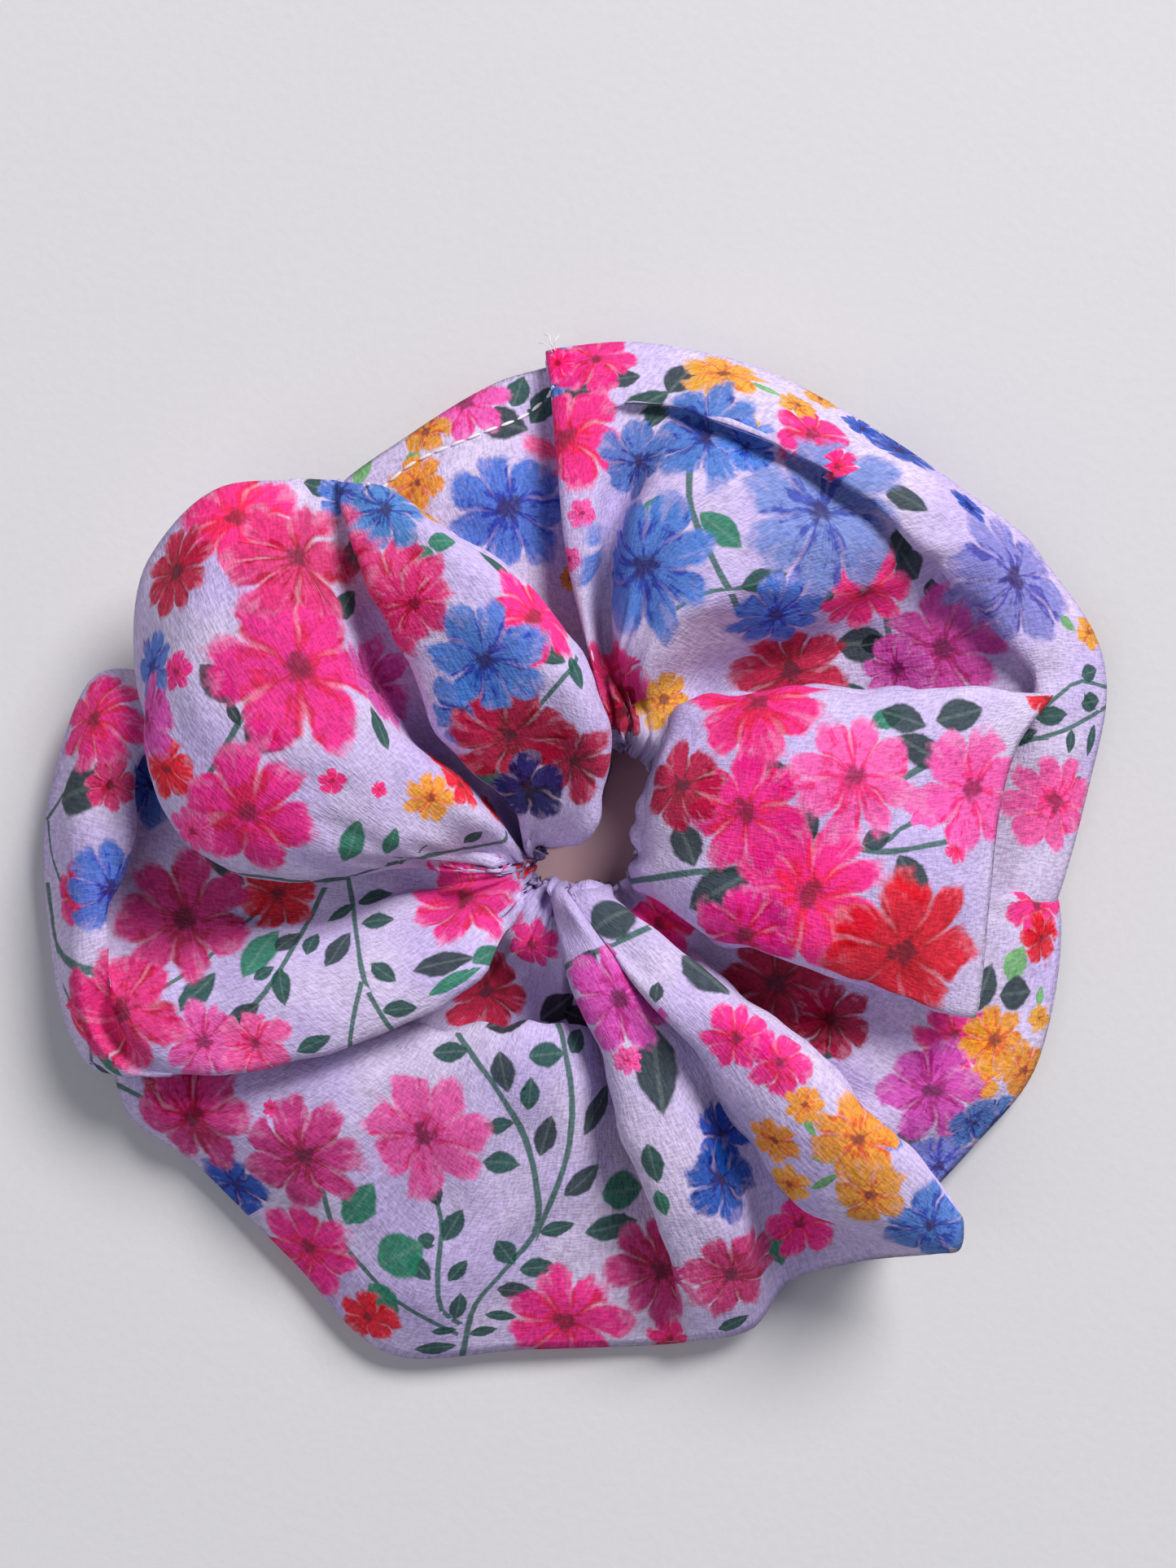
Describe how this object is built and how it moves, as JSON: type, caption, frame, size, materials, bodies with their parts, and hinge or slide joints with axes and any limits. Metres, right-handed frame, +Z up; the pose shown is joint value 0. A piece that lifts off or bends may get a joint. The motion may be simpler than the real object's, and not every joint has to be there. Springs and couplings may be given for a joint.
{
  "type": "scrunchie",
  "caption": "Gathered printed-chiffon scrunchie: a cloth tube closed to a ring round a loop of sewn elastic, which stretches open.",
  "frame": {"origin": "centre of the hair opening, on the surface the scrunchie lies on", "axes": "+Z up out of the opening; +X the way the ring is pulled open; +Y across it"},
  "size_m": [0.1316, 0.1267, 0.03],
  "materials": {
    "cover": "semi-sheer crepe chiffon, lilac-white with a watercolour flower print",
    "elastic": "flat braided elastic, white",
    "thread": "white polyester sewing thread"
  },
  "bodies": {
    "held_side": {"cover_held_half": "cover", "elastic_held_half": "elastic", "elastic_join_stitching": "thread", "long_seam_stitching_held_half": "thread", "gap_topstitching": "thread", "closing_seam_stitching": "thread"},
    "pulled_side": {"cover_pulled_half": "cover", "elastic_pulled_half": "elastic", "long_seam_stitching_pulled_half": "thread"}
  },
  "joints": [
    {"name": "ring_stretch", "type": "slide", "parent": "held_side", "child": "pulled_side", "axis": [1, 0, 0], "range_m": [0, 0.05], "stiffness_N_per_m": 80}
  ]
}
